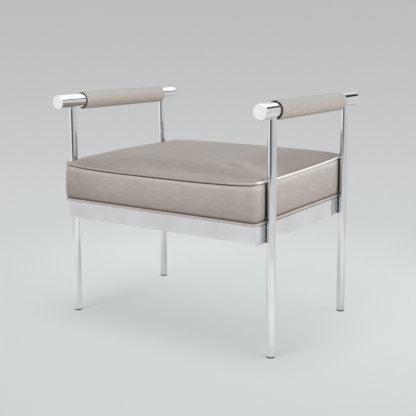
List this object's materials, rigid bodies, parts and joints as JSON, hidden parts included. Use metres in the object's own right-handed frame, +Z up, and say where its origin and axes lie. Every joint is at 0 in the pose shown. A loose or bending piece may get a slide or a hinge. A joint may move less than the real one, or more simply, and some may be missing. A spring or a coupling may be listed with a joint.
{
  "type": "upholstered bench",
  "caption": "Upholstered bench with padded arm bars on slender polished tube legs, a metal apron ring, a piped box cushion and screw-in levelling glides.",
  "frame": {"origin": "on the floor, midway between the four feet", "axes": "+Z up, +X to the right across the width, front towards -Y"},
  "size_m": [0.673, 0.511, 0.6165],
  "materials": {
    "polished_steel": "polished",
    "zinc_steel": "satin",
    "upholstery": "satin",
    "seat_foam": "matte",
    "sleeve_foam": "matte",
    "plywood": "matte",
    "dust_cloth": "matte",
    "glide_plastic": "satin"
  },
  "bodies": {
    "frame": {"base_welt": "upholstery", "dust_cover": "dust_cloth", "front_left_corner_plate": "polished_steel", "front_left_foot_insert": "zinc_steel", "front_left_leg": "polished_steel", "front_left_leg_slug": "zinc_steel", "front_right_corner_plate": "polished_steel", "front_right_foot_insert": "zinc_steel", "front_right_leg": "polished_steel", "front_right_leg_slug": "zinc_steel", "left_arm_bar": "polished_steel", "left_front_bar_cap": "polished_steel", "left_rear_bar_cap": "polished_steel", "leg_bolts": "zinc_steel", "leg_washers": "zinc_steel", "rear_left_corner_plate": "polished_steel", "rear_left_foot_insert": "zinc_steel", "rear_left_leg": "polished_steel", "rear_left_leg_slug": "zinc_steel", "rear_right_corner_plate": "polished_steel", "rear_right_foot_insert": "zinc_steel", "rear_right_leg": "polished_steel", "rear_right_leg_slug": "zinc_steel", "right_arm_bar": "polished_steel", "right_front_bar_cap": "polished_steel", "right_rear_bar_cap": "polished_steel", "seat_apron": "polished_steel", "seat_board": "plywood", "seat_boxing": "upholstery", "seat_foam": "seat_foam", "seat_screws": "zinc_steel", "seat_top_panel": "upholstery", "seat_under_border": "upholstery", "top_welt": "upholstery"},
    "front_left_glide": {"front_left_glide_pad": "glide_plastic", "front_left_glide_stem": "zinc_steel"},
    "front_right_glide": {"front_right_glide_pad": "glide_plastic", "front_right_glide_stem": "zinc_steel"},
    "left_sleeve": {"left_sleeve_cover": "upholstery", "left_sleeve_foam": "sleeve_foam"},
    "rear_left_glide": {"rear_left_glide_pad": "glide_plastic", "rear_left_glide_stem": "zinc_steel"},
    "rear_right_glide": {"rear_right_glide_pad": "glide_plastic", "rear_right_glide_stem": "zinc_steel"},
    "right_sleeve": {"right_sleeve_cover": "upholstery", "right_sleeve_foam": "sleeve_foam"}
  },
  "joints": [
    {"name": "left_sleeve_slide", "type": "slide", "parent": "frame", "child": "left_sleeve", "axis": [0, 1, 0], "range_m": [-0.0256, 0]},
    {"name": "right_sleeve_slide", "type": "slide", "parent": "frame", "child": "right_sleeve", "axis": [0, 1, 0], "range_m": [0, 0.0256]},
    {"name": "front_left_glide_screw", "type": "slide", "parent": "frame", "child": "front_left_glide", "axis": [0, 0, -1], "range_m": [0, 0.01]},
    {"name": "front_right_glide_screw", "type": "slide", "parent": "frame", "child": "front_right_glide", "axis": [0, 0, -1], "range_m": [0, 0.01]},
    {"name": "rear_left_glide_screw", "type": "slide", "parent": "frame", "child": "rear_left_glide", "axis": [0, 0, -1], "range_m": [0, 0.01]},
    {"name": "rear_right_glide_screw", "type": "slide", "parent": "frame", "child": "rear_right_glide", "axis": [0, 0, -1], "range_m": [0, 0.01]}
  ]
}
